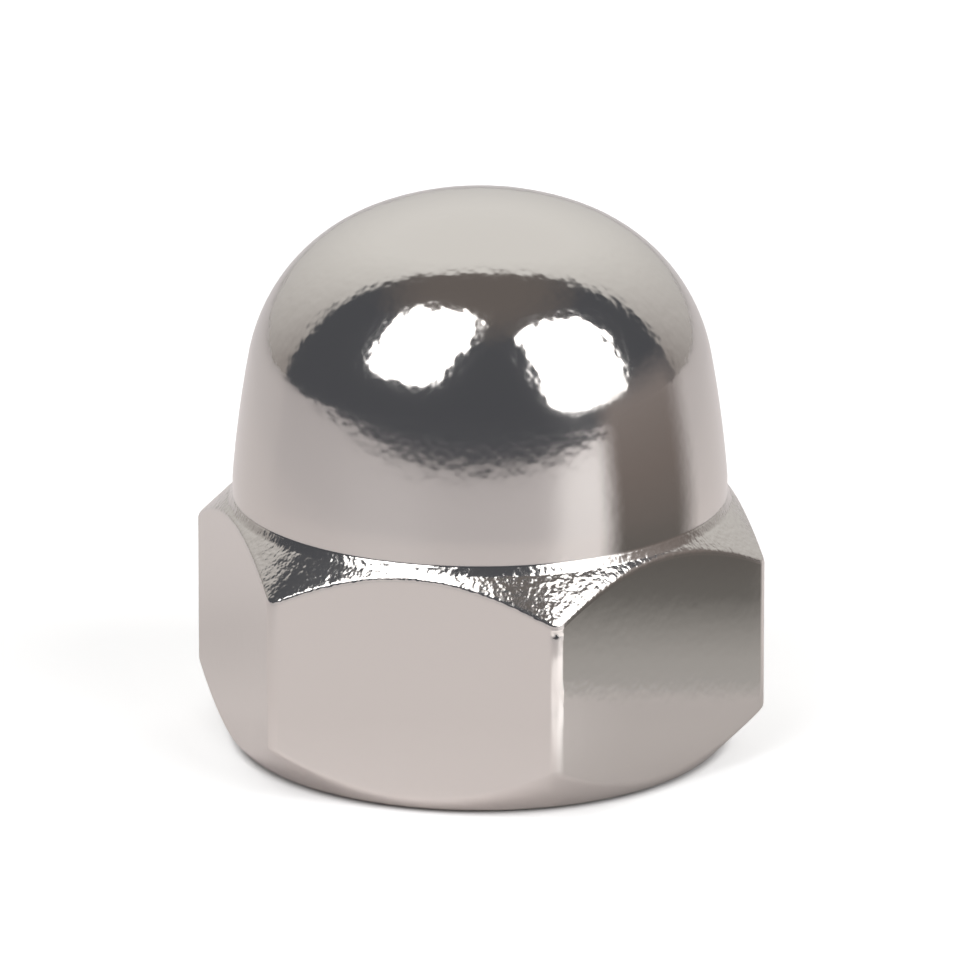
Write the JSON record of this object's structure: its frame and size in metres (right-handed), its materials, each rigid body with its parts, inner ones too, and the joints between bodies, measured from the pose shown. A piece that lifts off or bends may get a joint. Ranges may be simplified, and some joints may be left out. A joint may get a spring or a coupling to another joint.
{
  "type": "cap nut",
  "caption": "Domed hexagon cap nut in bright nickel-plated steel, with a rounded closed cap, chamfered corners and a blind M10 threaded hole in its flat bearing face.",
  "frame": {"origin": "centre of the flat bearing face, on the thread's axis", "axes": "+Z along the thread's axis from the bearing face to the crown, -Y out of one flat of the hexagon, +X towards a corner"},
  "size_m": [0.0184, 0.016, 0.0175],
  "materials": {
    "nickel_plate": "bright nickel plating on steel, mirror-like with a faint orange-peel waviness"
  },
  "bodies": {
    "root": {"cap_nut": "nickel_plate"}
  },
  "joints": []
}
